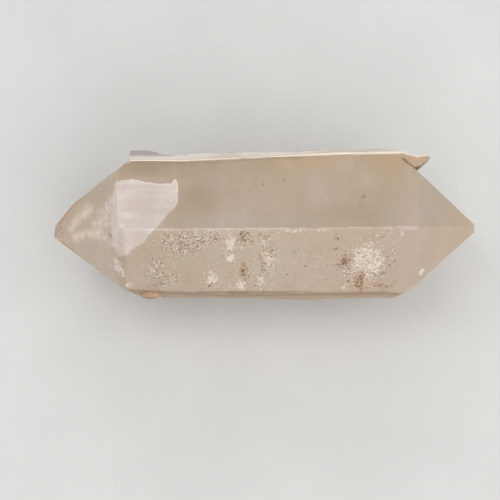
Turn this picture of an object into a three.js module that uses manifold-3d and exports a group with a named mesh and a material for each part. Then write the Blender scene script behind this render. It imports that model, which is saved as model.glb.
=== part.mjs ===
// A milky quartz crystal with a point at each end, lying on one of its long faces.
// Millimetres, +Z up. The long axis runs along X, the resting face lies at Z = 0,
// and the origin is under the middle of the crystal.
import * as THREE from 'three';
import { mergeVertices } from 'three/addons/utils/BufferGeometryUtils.js';
import Module from 'manifold-3d';

const wasm = await Module();
wasm.setup();

// Driving dimensions. All places are measured from the long axis until the last step.

const AXIS_HEIGHT = 12.75;
const CUTTER_SIZE = 200;
const QUARTZ_COLOUR = '#b9a78f';

// The six long faces. turn is the angle round the long axis from +Y, out is the distance
// from the axis, and taper leans the face towards +X.
const LONG_FACES = {
  top: { turn: 90, taper: -0.17, out: 13.22 },
  frontUpper: { turn: 150, taper: 0.1, out: 12.69 },
  frontLower: { turn: 210, taper: -0.4, out: 14.1 },
  resting: { turn: 270, taper: 0, out: AXIS_HEIGHT },
  backLower: { turn: 330, taper: 0.3, out: 13.4 },
  backUpper: { turn: 30, taper: -1.45, out: 12.56 },
};

// The faces of the two points. lean is the angle between the face's normal and the long axis.
const LEFT_FACES = [
  { turn: 94.6, lean: 48.3, out: 27.95 },
  { turn: 148.9, lean: 58.9, out: 24.3 },
  { turn: 209.3, lean: 55.4, out: 24.87 },
  { turn: 270, lean: 51.5, out: 25.6 },
  { turn: 330.5, lean: 52.2, out: 25.2 },
  { turn: 29, lean: 52.4, out: 25.08 },
];
const RIGHT_FACES = [
  { turn: 91.1, lean: 49.5, out: 27.4 },
  { turn: 150.6, lean: 53.9, out: 25.82 },
  { turn: 210.2, lean: 51.1, out: 25.95 },
  { turn: 270, lean: 52, out: 25.9 },
  { turn: 330, lean: 51.6, out: 25.4 },
  { turn: 29.7, lean: 47.8, out: 25.69 },
];

// Small faces that blunt the tips and bevel two long edges. Each is given by its direction
// and a point that it passes through.
const SMALL_FACES = [
  { name: 'left tip bevel', direction: [-0.78, 0.53, 0.37], through: [-36.75, 0.85, 4.9] },
  { name: 'left tip', direction: [-0.98, 0.04, 0.2], through: [-39.95, -3.2, 1.6] },
  { name: 'right tip', direction: [0.98, 0.1, 0.15], through: [38.7, -2.4, 2.4] },
  { name: 'front bevel', direction: [0.004, -0.999, -0.03], through: [4.0, -14.62, 0.1] },
  { name: 'front bevel, left end', direction: [-0.032, -0.997, -0.05], through: [-12.6, -14.5, 0.3] },
  { name: 'front right corner', direction: [0.16, -0.89, 0.43], through: [22, -14.3, 0.6] },
  { name: 'back lower bevel', direction: [0, 0.995, -0.08], through: [0, 15.1, 0.4] },
];

// The ledge along the back upper edge, seen from above as [x, y] points. Its top slopes
// down to the back by slope degrees, and its front stands rise above the top face.
const LEDGE = {
  front: [[-25.15, 6.2], [-20.5, 6.15], [-15.9, 6.0], [-11, 6.3], [-6.7, 6.55], [-1, 6.8], [4, 6.95],
    [10, 7.1], [14.9, 7.25], [20, 7.4], [23.4, 7.45]],
  back: [[24.2, 8.15], [23.1, 8.45], [22.0, 8.7], [17.8, 8.6], [11.4, 8.5], [10.5, 8.8], [9.6, 8.45],
    [6.4, 8.35], [1.3, 8.3], [-2.8, 8.2], [-8.5, 8.1], [-12.4, 8.0], [-14.2, 7.9], [-14.8, 7.75],
    [-15.4, 7.9], [-19.1, 7.95], [-20.1, 8.3], [-20.7, 8.7], [-21.6, 9.05], [-25.2, 9.1]],
  floor: 8,
  ceiling: 16,
  slope: 24,
  taper: -0.6,
  rise: 0.24,
};

// The spur at the back right corner, a shard that stands out past the point's face. Its outline
// is seen from above, and two slanted faces cut its top and its underside.
const SPUR = {
  outline: [[22.6, 6.2], [24.6, 5.2], [26.5, 4.9], [27.75, 5.5], [29.15, 6.5], [29.55, 7.0], [29.3, 7.4],
    [28.85, 7.5], [28.0, 7.25], [27.2, 7.1], [26.3, 7.4], [25.5, 7.65], [24.1, 8.1]],
  floor: 6,
  ceiling: 16,
  top: { direction: [0.03, -0.16, 0.98], through: [26.5, 4.9, 12.8] },
  underside: { direction: [0.62, 0.1, -0.78], through: [29.55, 7.0, 12.3] },
};

// A rounded lump on the front bevel.
const LUMP = { at: [-22.0, -14.1, -1.3], size: [1.9, 1.0, 1.2] };

// The groove along the top of the front bevel, and the crevice between the spur and the point.
const GROOVES = [
  { from: [-13.2, -14.55, 0.35], to: [7.5, -14.62, 0.15], width: 0.45 },
  { from: [24.8, 6.5, 13.25], to: [26.6, 4.8, 13.0], width: 0.27 },
];

// Pit groups. along is the place on X, down is the distance below the front upper face's
// upper edge, spread is half the group's size in both directions.
const FRONT_HALF_WIDTH = 7.6;
const PIT_LIFT = 0.1;
const FRONT_PITS = [
  { along: -15.9, down: 3.8, spread: [4.6, 3.6], count: 30, size: 0.36 },
  { along: -19.5, down: 10.3, spread: [2.4, 5.2], count: 18, size: 0.36 },
  { along: -6.8, down: 2.4, spread: [1.6, 1.8], count: 7, size: 0.32 },
  { along: -3.9, down: 2.9, spread: [1.6, 1.9], count: 9, size: 0.36 },
  { along: -4.1, down: 9.8, spread: [1.5, 2.2], count: 10, size: 0.4 },
  { along: 0.1, down: 7.7, spread: [1.7, 4.4], count: 16, size: 0.36 },
  { along: -9.9, down: 11.0, spread: [1.1, 1.5], count: 6, size: 0.34 },
  { along: 8.0, down: 6.5, spread: [6.5, 6.0], count: 12, size: 0.28 },
  { along: 16.2, down: 8.6, spread: [4.0, 5.2], count: 38, size: 0.42 },
];

// Single pits on the top face, seen from above, and their size.
const TOP_PITS = [[0.6, 3.7], [-0.4, 2.6], [-6.4, 1.0], [3.0, 3.1], [17.2, -0.5], [16.3, -2.3]];
const TOP_PIT_SIZE = 0.3;

// Pits on the front faces of the two points: place and size.
const POINT_PITS = [
  [[-27.7, -10.4, 5.5], 0.4],
  [[-27.4, -11.2, 4.4], 0.5],
  [[-27.2, -11.7, 3.8], 0.4],
  [[-26.9, -12.2, 3.2], 0.45],
  [[-25.8, -13.9, 2.0], 0.5],
  [[-28.5, -6.8, 10.4], 0.5],
  [[-36.3, -2.1, 4.9], 0.3],
  [[28.4, -11.6, 2.7], 0.5],
];

// Chips along the edge between the top and the front upper face: place on X and size.
const FRONT_EDGE = { y: -7.0, z: 13.2 };
const EDGE_CHIPS = [
  [-22.6, 0.45], [-17.3, 0.35], [-12.1, 0.5], [-8.4, 0.35], [-2.2, 0.4], [3.9, 0.6], [5.2, 0.8],
  [6.8, 0.75], [8.1, 0.65], [9.4, 0.45], [13.6, 0.35], [18.9, 0.45], [22.3, 0.35],
];

// Growth layers on the faces that point away: thin plates with straight sides.
const GROWTH_LAYERS = [
  { face: 'backLower', along: -9, across: -1.5, size: [13, 4.6], thick: 0.45, corners: 6 },
  { face: 'backLower', along: 13, across: 1.8, size: [8, 3.2], thick: 0.35, corners: 5 },
  { face: 'backUpper', along: 6, across: -1.5, size: [14, 3.0], thick: 0.3, corners: 6 },
  { face: 'frontLower', along: 7, across: -1.2, size: [10, 3.8], thick: 0.35, corners: 6 },
];
const BACK_PITS = [
  { face: 'backLower', along: -17, across: 3.2, spread: [5, 2], count: 9, size: 0.55 },
  { face: 'backUpper', along: -9, across: -2.6, spread: [6, 1.4], count: 8, size: 0.5 },
  { face: 'frontLower', along: -14, across: 1.0, spread: [5, 3.5], count: 10, size: 0.55 },
  { face: 'resting', along: 12, across: 2.5, spread: [6, 3], count: 7, size: 0.4 },
];

// Helpers

// A repeatable sequence of numbers from 0 to 1.
function sequence(seed) {
  let state = seed;
  return () => {
    state = (Math.imul(state, 1664525) + 1013904223) >>> 0;
    return state / 4294967296;
  };
}

function toSolid(geometry) {
  const bare = geometry.clone();
  bare.deleteAttribute('normal');
  bare.deleteAttribute('uv');
  const merged = mergeVertices(bare);
  return new wasm.Manifold(new wasm.Mesh({
    numProp: 3,
    vertProperties: Float32Array.from(merged.attributes.position.array),
    triVerts: Uint32Array.from(merged.index.array),
  }));
}

function toGeometry(solid) {
  const mesh = solid.getMesh();
  const geometry = new THREE.BufferGeometry();
  geometry.setAttribute('position', new THREE.BufferAttribute(mesh.vertProperties, mesh.numProp));
  geometry.setIndex(new THREE.BufferAttribute(mesh.triVerts, 1));
  return geometry;
}

function longFaceDirection({ turn, taper }) {
  const angle = THREE.MathUtils.degToRad(turn);
  const lean = THREE.MathUtils.degToRad(taper);
  return new THREE.Vector3(
    Math.sin(lean), Math.cos(lean) * Math.cos(angle), Math.cos(lean) * Math.sin(angle));
}

function endFaceDirection({ turn, lean }, side) {
  const angle = THREE.MathUtils.degToRad(turn);
  const slant = THREE.MathUtils.degToRad(lean);
  return new THREE.Vector3(
    side * Math.cos(slant), Math.sin(slant) * Math.cos(angle), Math.sin(slant) * Math.sin(angle));
}

// Everything that lies further out than a plane.
function beyond(direction, out) {
  const box = new THREE.BoxGeometry(CUTTER_SIZE, CUTTER_SIZE, CUTTER_SIZE);
  box.translate(0, 0, CUTTER_SIZE / 2 + out);
  box.applyQuaternion(new THREE.Quaternion().setFromUnitVectors(new THREE.Vector3(0, 0, 1), direction));
  return toSolid(box);
}

function outwardOf({ direction, through }) {
  const normal = new THREE.Vector3(...direction).normalize();
  return { normal, out: normal.dot(new THREE.Vector3(...through)) };
}

// A small many-sided grain with uneven proportions, for a pit or a chip.
function grain(position, size, random) {
  const shape = random() < 0.5 ? new THREE.OctahedronGeometry(1) : new THREE.TetrahedronGeometry(1.25);
  shape.scale(size * (0.7 + 0.8 * random()), size * (0.6 + 0.6 * random()), size * (0.5 + 0.5 * random()));
  shape.rotateX(random() * Math.PI);
  shape.rotateZ(random() * Math.PI);
  shape.translate(position.x, position.y, position.z);
  return toSolid(shape);
}

// A point on a long face, found by its place on X and its distance from the face's middle line.
function pointOnFace(name, along, across, lift = 0) {
  const face = LONG_FACES[name];
  const normal = longFaceDirection(face);
  const angle = THREE.MathUtils.degToRad(face.turn);
  const sideways = new THREE.Vector3(0, -Math.sin(angle), Math.cos(angle));
  const point = new THREE.Vector3(along, 0, 0).addScaledVector(sideways, across);
  return point.addScaledVector(normal, face.out + lift - point.dot(normal));
}

// Parts of the crystal

function plainCrystal() {
  let solid = toSolid(new THREE.BoxGeometry(CUTTER_SIZE / 2, CUTTER_SIZE / 2, CUTTER_SIZE / 2));
  for (const face of Object.values(LONG_FACES)) {
    solid = solid.subtract(beyond(longFaceDirection(face), face.out));
  }
  for (const face of LEFT_FACES) {
    solid = solid.subtract(beyond(endFaceDirection(face, -1), face.out));
  }
  for (const face of RIGHT_FACES) {
    solid = solid.subtract(beyond(endFaceDirection(face, 1), face.out));
  }
  for (const face of SMALL_FACES) {
    const { normal, out } = outwardOf(face);
    solid = solid.subtract(beyond(normal, out));
  }
  return solid;
}

// An upright plate with the given outline seen from above.
function plate({ outline, floor, ceiling }) {
  const shape = new THREE.Shape(outline.map(([x, y]) => new THREE.Vector2(x, y)));
  const body = new THREE.ExtrudeGeometry(shape, { depth: ceiling - floor, bevelEnabled: false });
  body.translate(0, 0, floor);
  return toSolid(body);
}

function ledge() {
  const outline = [...LEDGE.front, ...LEDGE.back];
  const slant = longFaceDirection({ turn: 90 - LEDGE.slope, taper: LEDGE.taper });
  const start = new THREE.Vector3(...LEDGE.front[0], LONG_FACES.top.out + LEDGE.rise);
  return plate({ ...LEDGE, outline }).subtract(beyond(slant, slant.dot(start)));
}

function spur() {
  const top = outwardOf(SPUR.top);
  const underside = outwardOf(SPUR.underside);
  return plate(SPUR).subtract(beyond(top.normal, top.out)).subtract(beyond(underside.normal, underside.out));
}

function lump() {
  const shape = new THREE.IcosahedronGeometry(1, 1);
  shape.scale(...LUMP.size);
  shape.translate(...LUMP.at);
  return toSolid(shape);
}

// A straight V-shaped cut.
function groove({ from, to, width }) {
  const start = new THREE.Vector3(...from);
  const along = new THREE.Vector3(...to).sub(start);
  const cut = new THREE.BoxGeometry(along.length(), width, width);
  cut.rotateX(Math.PI / 4);
  cut.translate(along.length() / 2, 0, 0);
  const forward = new THREE.Vector3(1, 0, 0);
  cut.applyQuaternion(new THREE.Quaternion().setFromUnitVectors(forward, along.normalize()));
  cut.translate(start.x, start.y, start.z);
  return toSolid(cut);
}

function growthLayer({ face, along, across, size, thick, corners }) {
  const outline = [];
  for (let i = 0; i < corners; i += 1) {
    const angle = (i / corners) * 2 * Math.PI + 0.3;
    const reach = 1 - 0.18 * (i % 2);
    outline.push(new THREE.Vector2(size[0] * reach * Math.cos(angle), size[1] * reach * Math.sin(angle)));
  }
  const plate = new THREE.ExtrudeGeometry(new THREE.Shape(outline), {
    depth: thick, bevelEnabled: true, bevelThickness: thick, bevelSize: thick * 1.5, bevelSegments: 1,
  });
  const normal = longFaceDirection(LONG_FACES[face]);
  const sideways = new THREE.Vector3().crossVectors(normal, new THREE.Vector3(1, 0, 0)).normalize();
  const forward = new THREE.Vector3().crossVectors(sideways, normal);
  const middle = pointOnFace(face, along, across, -thick);
  plate.applyMatrix4(new THREE.Matrix4().makeBasis(forward, sideways, normal).setPosition(middle));
  return toSolid(plate);
}

function pits() {
  const random = sequence(89);
  const cuts = [];
  for (const { along, down, spread, count, size } of FRONT_PITS) {
    for (let i = 0; i < count; i += 1) {
      const x = along + spread[0] * (random() + random() - 1);
      const across = down - FRONT_HALF_WIDTH + spread[1] * (random() + random() - 1);
      cuts.push(grain(pointOnFace('frontUpper', x, across, PIT_LIFT), size * (0.5 + 0.8 * random()), random));
    }
  }
  for (const [x, y] of TOP_PITS) {
    cuts.push(grain(pointOnFace('top', x, -y, PIT_LIFT / 2), TOP_PIT_SIZE, random));
  }
  for (const [place, size] of POINT_PITS) {
    cuts.push(grain(new THREE.Vector3(...place), size, random));
  }
  for (const { face, along, across, spread, count, size } of BACK_PITS) {
    for (let i = 0; i < count; i += 1) {
      const x = along + spread[0] * (2 * random() - 1);
      const y = across + spread[1] * (2 * random() - 1);
      cuts.push(grain(pointOnFace(face, x, y, PIT_LIFT), size * (0.6 + 0.7 * random()), random));
    }
  }
  return cuts;
}

function edgeChips() {
  const random = sequence(19);
  return EDGE_CHIPS.map(([x, size]) => {
    const place = new THREE.Vector3(x, FRONT_EDGE.y, FRONT_EDGE.z + size * 0.35);
    return grain(place, size, random);
  });
}

// The whole crystal

let crystal = plainCrystal();
for (const layer of GROWTH_LAYERS) {
  crystal = crystal.add(growthLayer(layer));
}
crystal = crystal.add(ledge()).add(spur()).add(lump());
for (const cut of [...GROOVES.map(groove), ...pits(), ...edgeChips()]) {
  crystal = crystal.subtract(cut);
}

const geometry = toGeometry(crystal);
geometry.computeBoundingBox();
const middle = geometry.boundingBox.getCenter(new THREE.Vector3());
geometry.translate(-middle.x, -middle.y, AXIS_HEIGHT);

const quartz = new THREE.Mesh(geometry, new THREE.MeshStandardMaterial({
  color: QUARTZ_COLOUR, roughness: 0.25, metalness: 0,
}));
quartz.name = 'quartz_crystal';

const group = new THREE.Group();
group.add(quartz);

export default group;
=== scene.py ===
"""A milky quartz crystal with a point at each end, on a plain pale floor."""

import math
from types import SimpleNamespace

import bmesh
import bpy
import numpy as np
from mathutils import Matrix, Vector
from mathutils.bvhtree import BVHTree


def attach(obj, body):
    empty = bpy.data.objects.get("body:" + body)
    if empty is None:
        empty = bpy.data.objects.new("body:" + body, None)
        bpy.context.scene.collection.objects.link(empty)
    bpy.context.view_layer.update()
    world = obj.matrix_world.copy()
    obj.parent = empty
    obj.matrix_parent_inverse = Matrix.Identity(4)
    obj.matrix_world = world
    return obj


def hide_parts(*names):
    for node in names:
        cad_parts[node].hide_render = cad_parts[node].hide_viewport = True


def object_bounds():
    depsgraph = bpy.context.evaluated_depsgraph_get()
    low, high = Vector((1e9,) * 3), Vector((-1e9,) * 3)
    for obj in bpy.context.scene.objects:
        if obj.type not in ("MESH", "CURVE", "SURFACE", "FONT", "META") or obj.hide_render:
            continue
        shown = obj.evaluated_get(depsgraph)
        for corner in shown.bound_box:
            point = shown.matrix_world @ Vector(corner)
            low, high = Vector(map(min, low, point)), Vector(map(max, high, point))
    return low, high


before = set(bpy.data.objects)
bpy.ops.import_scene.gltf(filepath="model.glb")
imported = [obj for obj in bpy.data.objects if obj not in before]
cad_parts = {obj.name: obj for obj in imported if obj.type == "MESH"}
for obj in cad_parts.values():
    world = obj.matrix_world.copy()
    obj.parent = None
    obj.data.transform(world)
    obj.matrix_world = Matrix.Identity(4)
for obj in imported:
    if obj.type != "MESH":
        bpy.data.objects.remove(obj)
cad_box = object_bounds()

# Places below are in millimetres from the crystal's long axis, unless their comment says otherwise.
MM = 0.001
AXIS_PLACE = np.array([0.568, 0.008, 12.75])

# The camera looks down on the crystal. Angles are in degrees, and the last two distances in metres.
CAMERA_TARGET = np.array([-3.306, -5.128, -2.037])
CAMERA_ELEVATION = 68.51
CAMERA_AZIMUTH = -0.823
CAMERA_ROLL = 0.479
CAMERA_DISTANCE = 230.0
CAMERA_VIEW_WIDTH = 95.0
SENSOR_WIDTH = 36.0
NEAREST_SEEN = 0.01
FURTHEST_SEEN = 10.0

# The lamps and the floor, in metres. Each lamp has a name, place, size, power in watts, and whether
# faces mirror it.
LAMPS = [
    ("light_back", (-0.05, 0.55, 0.21), 0.40, 1.2, False),
    ("light_above", (-0.30, 0.10, 0.55), 0.35, 0.9, True),
    ("light_front", (0.20, -0.50, 0.30), 0.60, 2.6, True),
    ("light_right", (0.60, -0.10, 0.35), 0.50, 1.0, True),
]
LAMPS_FACE = (0.0, 0.0, 0.012)
ROOM_LIGHT = 0.8
FLOOR_HALF_WIDTH = 1.5

# Directions of the faces that carry their own markings.
FACE_TOP = np.array([0.0, 0.0, 1.0])
FACE_FRONT = np.array([0.0, -0.866, 0.5])
FRONT_DOWN = np.array([0.0, -0.5, -0.866])
FRONT_UPPER_EDGE = -7.6
FRONT_OUT = 12.69
TOP_OUT = 13.2
FRONT_RIDGE = np.array([0.0, -0.5, 0.866])

# How far a normal has to point towards a face, or up or forwards, to count as part of it.
FACING_FRONT = (0.8, 0.95)
FACING_TOP = (0.9, 0.98)
FACING_UP = (0.1, 0.4)
FACING_FORWARDS = (0.93, 0.985)

# Markings on the front face: place along the crystal, place below the face's upper edge,
# half length, half height and strength.
FROST_PATCHES = [
    (-6.9, 2.9, 1.0, 2.1, 1.0), (-7.0, 6.2, 1.0, 1.2, 0.95), (-4.8, 4.2, 0.6, 0.6, 0.9),
    (-10.4, 11.4, 1.5, 2.0, 0.85), (-5.1, 12.7, 0.9, 1.5, 1.0), (-7.1, 13.4, 0.5, 0.8, 0.6),
    (-0.9, 3.0, 1.0, 1.8, 0.65), (-0.1, 7.4, 1.6, 2.6, 0.85), (-1.4, 12.0, 0.9, 2.0, 0.7),
    (17.9, 7.9, 3.8, 5.0, 0.95), (15.0, 8.5, 1.1, 1.2, 0.7), (14.0, 13.4, 0.7, 0.7, 0.7),
    (19.2, 1.2, 0.6, 0.8, 0.6), (23.8, 1.1, 0.5, 0.8, 0.7), (-15.5, 2.7, 4.4, 2.8, 0.4),
    (-11.5, 1.2, 2.8, 1.5, 0.55), (-20.4, 9.6, 2.0, 4.0, 0.5), (-17.7, 11.5, 1.4, 2.0, 0.4),
    (-0.8, 0.3, 1.6, 0.4, 0.5), (4.6, 0.3, 3.2, 0.6, 0.6), (9.4, 0.3, 1.8, 0.35, 0.6),
]
STAIN_PATCHES = [
    (-4.4, 1.9, 1.3, 1.9, 0.85), (-4.75, 9.3, 1.1, 2.2, 1.2), (-6.9, 10.6, 0.7, 1.2, 0.5),
    (-1.0, 8.4, 1.2, 2.2, 0.7), (0.3, 4.8, 1.0, 1.0, 0.6), (-1.2, 1.4, 1.0, 0.9, 0.5),
    (13.9, 7.2, 1.5, 1.8, 1.15), (16.8, 11.8, 1.4, 2.8, 1.2), (20.0, 13.2, 2.8, 1.2, 0.7),
    (12.3, 4.3, 0.7, 0.8, 0.65), (12.3, 2.0, 0.6, 0.6, 0.6), (21.0, 10.1, 1.1, 1.1, 0.45),
]
PITTED_AREAS = [
    (-15.4, 2.8, 5.0, 3.3, 1.25), (-11.0, 1.6, 3.4, 2.0, 1.15), (-20.3, 9.8, 2.2, 4.6, 1.1),
    (-17.6, 11.6, 1.8, 2.6, 0.7), (-7.0, 4.0, 1.6, 3.2, 0.8), (-4.4, 2.2, 1.8, 2.2, 0.8),
    (-10.4, 11.5, 1.6, 2.0, 0.9), (-4.8, 10.4, 1.4, 3.0, 0.8), (-0.3, 7.0, 1.9, 6.0, 0.9),
    (17.8, 8.2, 3.8, 5.4, 1.0), (14.2, 8.8, 1.8, 3.6, 0.8), (8.5, 6.5, 5.0, 6.0, 0.3),
    (21.4, 7.4, 2.0, 3.4, 0.5), (21.0, 1.2, 1.2, 1.4, 0.5), (0.0, 8.0, 26.0, 9.0, 0.16),
]

PALE_FRONT = [(0.0, 7.5, 16.0, 7.0, 1.0)]

# Single marks on the front face: place along the crystal and place below the face's upper edge.
# Dark grains at these marks: brown grains, partly standing in for shadow in small pits.
DARK_MARKS = [
    (-1.6, 1.0), (-0.6, 1.7), (-0.05, 1.45), (-2.9, 2.7), (0.65, 4.7), (1.15, 6.0), (-1.1, 8.4),
    (-0.5, 7.9), (-1.4, 10.55), (-2.5, 12.9), (-0.7, 14.4), (5.2, 4.4), (4.7, 5.1), (6.8, 8.45),
    (3.4, 10.3), (-3.3, 7.1), (-4.0, 9.1), (-4.6, 9.9), (-5.1, 1.0), (-4.6, 1.9), (-4.2, 2.4),
    (-3.85, 0.6), (-9.6, 1.9), (-10.9, 13.0), (-15.8, 2.7), (-18.6, 2.6), (-18.5, 0.9), (-20.9, 6.5),
    (21.4, 6.4), (18.9, 7.2), (23.0, 7.1), (22.1, 8.2), (21.4, 10.2), (20.8, 9.9), (14.7, 11.9),
    (21.2, 0.4), (20.5, 1.7), (12.3, 2.0), (12.25, 4.3), (14.0, 6.9), (13.4, 7.0), (17.2, 11.4),
    (16.6, 13.2), (-13.1, 1.5), (-11.9, 2.7),
]
# White grains at these marks: white crust grains, partly standing in for glints.
PALE_MARKS = [
    (-1.2, 0.55), (-1.2, 3.6), (0.1, 4.6), (-0.6, 7.1), (0.7, 8.5), (0.85, 8.9), (0.6, 8.8), (-1.4, 11.5),
    (-1.6, 12.9), (2.65, 4.3), (7.4, 8.4), (8.5, 6.4), (8.8, 7.1), (-13.75, 1.2), (-10.75, 0.8),
    (-21.1, 2.7), (14.7, 8.6), (15.4, 8.4), (17.0, 9.1), (-9.3, 10.3), (-5.0, 13.2), (-7.1, 1.9),
]

# Single marks on the top face: place along the crystal and place across it.
TOP_DARK_MARKS = [(-6.55, 0.5), (-0.85, 1.6), (2.65, 2.3), (17.1, -1.0)]
TOP_PALE_MARKS = [(0.5, 3.1), (-6.3, 0.6)]

# Flecks on the left point.
POINT_PALE_MARKS = [
    (-32.1, -6.0, 9.1), (-31.3, -6.9, 9.8), (-30.5, -6.8, 10.4), (-31.7, -7.6, 9.4), (-32.8, -4.8, 8.5),
    (-29.5, -2.1, 11.4), (-28.5, -1.5, 12.2), (-27.8, 0.4, 12.8), (-30.1, -8.1, 5.4), (-28.4, -8.1, 7.8),
    (-30.6, -7.0, 6.6), (-31.9, -6.4, 8.2), (-31.0, -7.2, 8.0), (-28.9, -3.0, 11.6), (-27.9, -5.4, 11.6),
]
POINT_DARK_MARKS = [(-28.5, -6.5, 10.2), (-28.3, -6.8, 10.0)]

# The white fracture inside the left half, as seen from the camera's side:
# distance along the crystal and distance up the picture.
VEIL_OUTLINE = [
    (-28.0, 6.7), (-26.4, 7.0), (-23.4, 7.1), (-21.2, 6.75), (-19.8, 6.4), (-17.5, 6.4), (-16.7, 7.4),
    (-16.3, 6.3), (-16.3, 3.3), (-16.8, 2.0), (-18.0, 0.6), (-19.3, -1.0), (-20.5, -2.3), (-22.5, -4.5),
    (-23.7, -5.4), (-25.5, -6.8), (-27.4, -7.0), (-28.3, -4.7), (-28.3, -1.1), (-28.1, 3.4),
]
VEIL_GHOST = [
    (-27.7, 5.2), (-29.3, 3.4), (-31.5, 0.9), (-32.4, -0.5), (-32.0, -2.3), (-30.8, -3.8),
    (-28.8, -4.8), (-27.7, -5.2),
]
SEEN_RIGHT = np.array([1.0, -0.007, 0.003])
SEEN_UP = np.array([0.005, 0.930, 0.366])

# Where the veil fades or softens, on the same two distances: each change starts and ends there.
VEIL_LEFT_FADE = (-28.4, -26.6)
VEIL_LOW_FADE = (-7.0, -5.0)
VEIL_SOFT_LEFT = (-23.5, -21.0)
VEIL_SOFT_LOW = (-5.0, -2.5)
VEIL_RIM_RIGHT = (-25.5, -22.0)
VEIL_RIM_UP = (3.5, 5.5)
VEIL_LEFT_LOSS = 0.5
VEIL_LOW_LOSS = 0.15
GHOST_EDGE = (-1.0, 0.9)

# How the veil's outline wavers: how far, size of the waves and seed of their noise.
VEIL_WAVES = (0.22, 2.2, 61)
VEIL_RIPPLES = (0.1, 0.8, 62)

# Clouds inside, and at the right end a patch of painted light, on the same two distances: middle, half
# width, half height and strength.
DARK_CLOUDS = [
    (-22.0, 9.2, 5.5, 1.8, 1.0), (-12.6, 4.2, 4.2, 5.0, 0.8), (-14.5, 8.5, 3.5, 3.0, 0.7),
    (15.5, 0.6, 9.0, 2.2, 0.45), (-2.0, 9.5, 3.0, 1.4, 0.35),
]
PALE_CLOUDS_AND_LIT_END = [
    (8.8, 8.0, 3.0, 2.6, 0.5), (22.0, 0.8, 2.8, 2.0, 0.5), (-3.0, -0.4, 16.0, 1.2, 0.4),
    # The last pale patch, at the right end, is painted light from the right.
    (29.0, 3.0, 4.0, 5.0, 0.5),
]
WARM_CLOUDS = [
    (8.0, 10.2, 6.0, 2.0, 0.8), (22.5, 10.0, 3.5, 2.5, 0.8), (-37.6, 0.6, 1.7, 2.4, 1.0),
    (-38.2, -2.8, 1.8, 1.8, 1.0), (20.0, -11.8, 3.0, 1.6, 0.5), (15.0, -12.6, 5.0, 1.6, 0.6),
]

# Where the far half of the top face gets darker, across the crystal.
SHADE_START = (1.5, 6.5)

# Cream streaks on the left point, partly cloudy streaks inside and partly painted glints on its small facet
# and ridge, on the same two distances: path, half width and strength.
CREAM_AND_GLINT_STREAKS = [
    ([(-33.0, 1.9), (-33.9, 1.0)], 1.1, 1.0),
    ([(-33.9, 1.0), (-35.6, -0.4), (-36.4, -1.7)], 0.9, 0.8),
    ([(-31.4, -2.6), (-33.4, -2.6), (-35.6, -3.2)], 0.9, 0.75),
]
STREAK_SOFTNESS = 1.6

# The left point: its ridge, which has no brown rim, and where its rim and its pale faces start.
TIP_RIDGE = [(-25.7, -1.9), (-34.0, -2.4), (-38.8, -3.1)]
TIP_RIM_START = (-36.5, -33.0)
TIP_RIM_WIDTH = (0.1, 1.0)
TIP_RIDGE_WIDTH = (0.5, 1.3)
LEFT_POINT_START = (-28.5, -26.8)

# Frosted and stained spots off the front face: place, size and strength.
FROST_SPOTS = [
    ((-27.8, -10.2, 5.6), 0.75, 1.4), ((-26.9, -10.7, 5.9), 0.4, 0.8), ((-27.4, -11.1, 4.4), 1.0, 1.4),
    ((-26.9, -11.9, 3.6), 0.8, 1.4), ((-25.8, -13.8, 2.1), 0.6, 1.1), ((-25.4, -14.3, 1.5), 0.4, 0.8),
    ((28.4, -11.6, 2.7), 0.75, 1.6), ((-32.3, -5.5, 8.0), 0.25, 0.5), ((-30.7, -6.1, 8.9), 0.25, 0.5),
    ((-30.9, -7.2, 6.8), 0.25, 0.4), ((-30.0, -8.3, 6.0), 0.25, 0.5), ((-28.5, -2.3, 11.9), 0.3, 0.4),
    ((-27.8, 0.4, 12.7), 0.35, 1.1), ((-29.3, -2.0, 11.5), 0.45, 1.2), ((-28.6, -1.2, 12.1), 0.3, 1.1),
    ((-32.1, -6.0, 9.1), 0.35, 1.2), ((-31.2, -6.9, 9.0), 0.35, 1.2), ((-30.4, -6.9, 9.2), 0.35, 1.1),
    ((-32.8, -4.8, 8.5), 0.3, 1.1), ((3.2, -7.3, 13.2), 0.5, 0.8), ((5.6, -7.3, 13.2), 0.5, 0.8),
]
STAIN_SPOTS = [
    ((24.9, 6.4, 13.1), 0.5, 0.9), ((-22.0, -14.6, -1.4), 1.6, 0.25), ((-28.4, -6.7, 10.1), 0.5, 1.6),
    ((-39.0, -2.6, 1.6), 1.5, 0.3),
]
LUMP_SPOT = ((-22.0, -14.4, -1.3), 2.4, 1.0)

# The split ledge along the top's far side, as places along and across the crystal.
LEDGE_LEFT = -25.3
LEDGE_RIGHT = 24.2
LEDGE_FRONT = [
    (-25.15, 6.25), (-20.5, 6.2), (-15.9, 6.05), (-6.7, 6.55), (0.0, 6.85), (4.0, 7.08), (12.9, 7.45),
    (18.5, 7.53), (23.4, 7.57),
]
LEDGE_FLOOR = 10.6
LIP_WIDTH = 0.26
LIP_WIDENS = (4.0, 13.0)

# The grey bump at the ledge's left end.
GREY_LEDGE_END = (-19.0, -15.5)
GREY_LEDGE_FRONT = (7.1, 7.9)

# The shard at the ledge's end and the crevice beside it, as places along and across the crystal.
SHARD_RIM = [(24.2, 7.75), (25.6, 7.35), (27.2, 6.85), (28.9, 7.2), (29.6, 6.9)]
SHARD_RIM_WIDTH = (0.14, 0.24)
SHARD_RIM_FRONT = (-0.3, -0.1)
SHARD_LEFT = (24.0, 24.4)
SHARD_FRONT = (4.7, 4.9)
SHARD_UNDERSIDE = (10.2, 10.6)
SHARD_SIDE_START = (25.6, 26.2)
SHARD_WARM_START = (25.2, 26.0)
SHARD_STEEP = (0.8, 0.9)
SHARD_FACING_BACK = (0.0, 0.3)
CREVICE = [(24.6, 6.75), (26.75, 4.85), (26.55, 4.65), (24.4, 6.5)]
CREVICE_EDGE = (-0.2, 0.0)
CREVICE_UNDERSIDE = (11.5, 12.4)

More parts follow.
